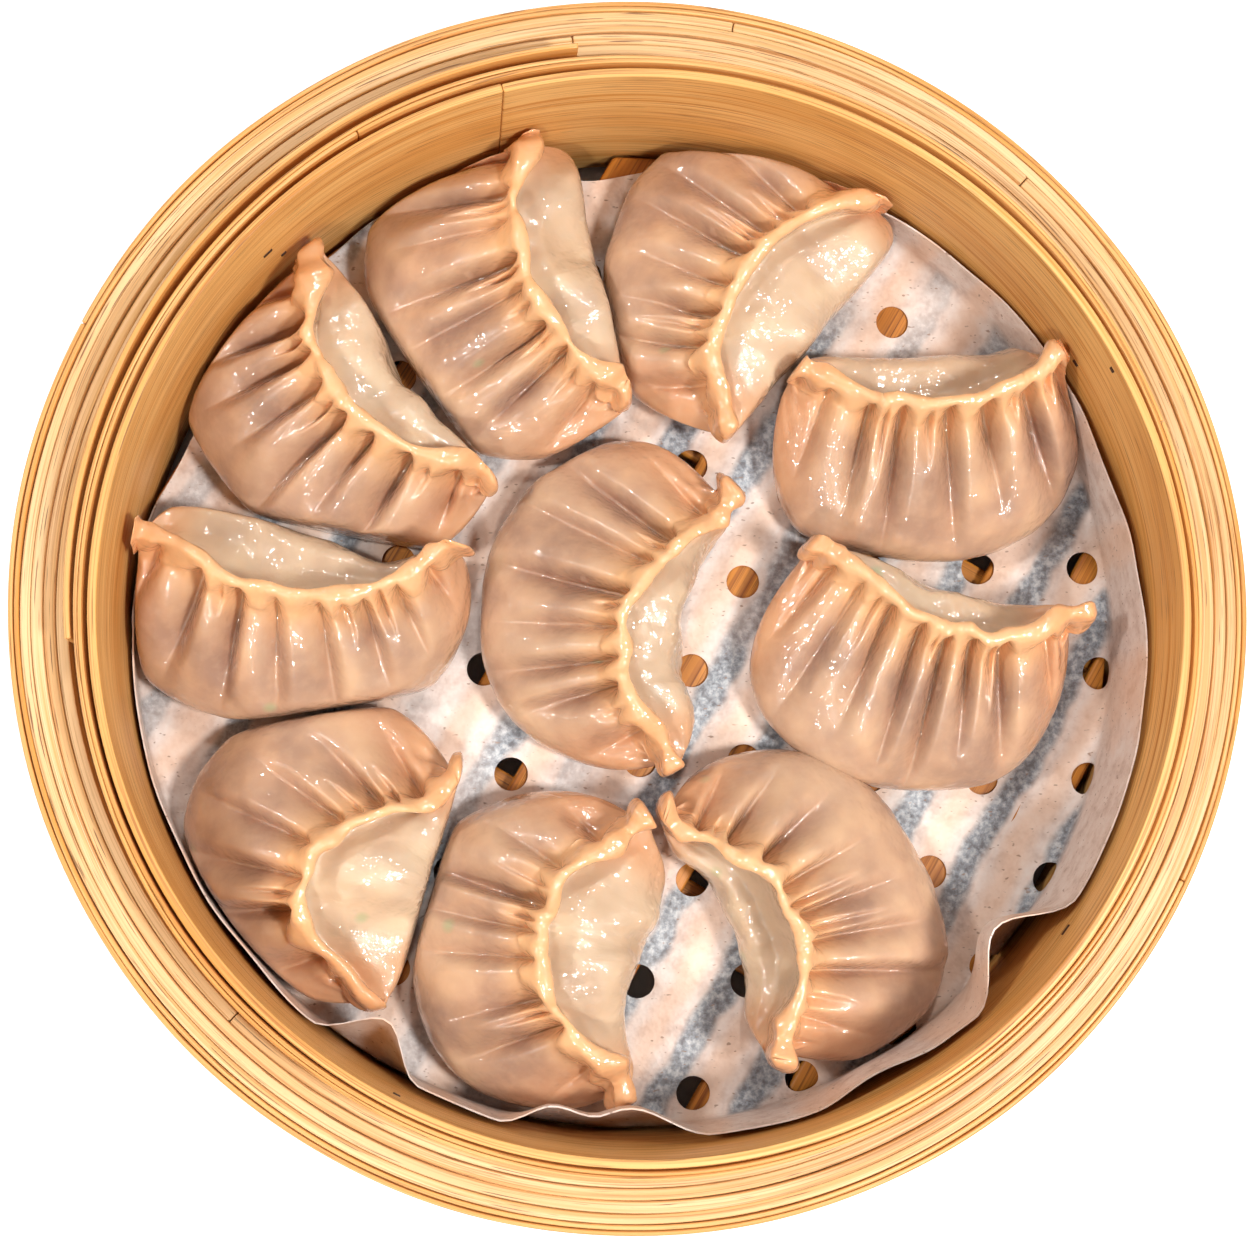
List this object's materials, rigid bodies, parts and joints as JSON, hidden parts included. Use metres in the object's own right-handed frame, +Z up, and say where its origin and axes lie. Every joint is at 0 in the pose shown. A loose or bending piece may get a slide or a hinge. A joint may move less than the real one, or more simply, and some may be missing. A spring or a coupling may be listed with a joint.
{
  "type": "bamboo steamer of pleated dumplings",
  "caption": "Round bamboo steamer basket with a slatted floor and a perforated paper liner, filled with steamed crescent dumplings with pleated bellies.",
  "frame": {"origin": "middle of the basket's round outline, on the surface that it stands on", "axes": "+Z up through the open top, +X to the right and +Y away from the viewer as the picture shows the basket from above"},
  "size_m": [0.25, 0.25, 0.062],
  "materials": {
    "bamboo_pale": "planed and unvarnished, pale split bamboo with fine straight grain",
    "bamboo_wall": "planed and unvarnished, steamed to a warm tan with long grain lines",
    "bamboo_slat": "unvarnished, darkened by steam to orange brown",
    "paper": "damp greaseproof paper, slightly see-through, with punched round holes",
    "dough": "wet, glossy, translucent steamed wheat dough with the filling showing through"
  },
  "bodies": {
    "root": {"inner_wall": "bamboo_wall", "middle_band": "bamboo_pale", "band_tail": "bamboo_pale", "upper_hoop": "bamboo_pale", "lower_hoop": "bamboo_pale", "rim_strip_1": "bamboo_pale", "rim_strip_2": "bamboo_pale", "rim_strip_3": "bamboo_pale", "rim_strip_4": "bamboo_pale", "slat_01": "bamboo_slat", "slat_02": "bamboo_slat", "slat_03": "bamboo_slat", "slat_04": "bamboo_slat", "slat_05": "bamboo_slat", "slat_06": "bamboo_slat", "slat_07": "bamboo_slat", "slat_08": "bamboo_slat", "slat_09": "bamboo_slat", "slat_10": "bamboo_slat", "slat_11": "bamboo_slat", "slat_12": "bamboo_slat", "slat_13": "bamboo_slat", "batten_1": "bamboo_slat", "batten_2": "bamboo_slat", "paper_liner": "paper", "dumpling_upper_left": "dough", "dumpling_top": "dough", "dumpling_right_upper": "dough", "dumpling_left_upper": "dough", "dumpling_left": "dough", "dumpling_centre": "dough", "dumpling_right_lower": "dough", "dumpling_lower_left": "dough", "dumpling_bottom": "dough", "dumpling_lower_right": "dough"}
  },
  "joints": []
}
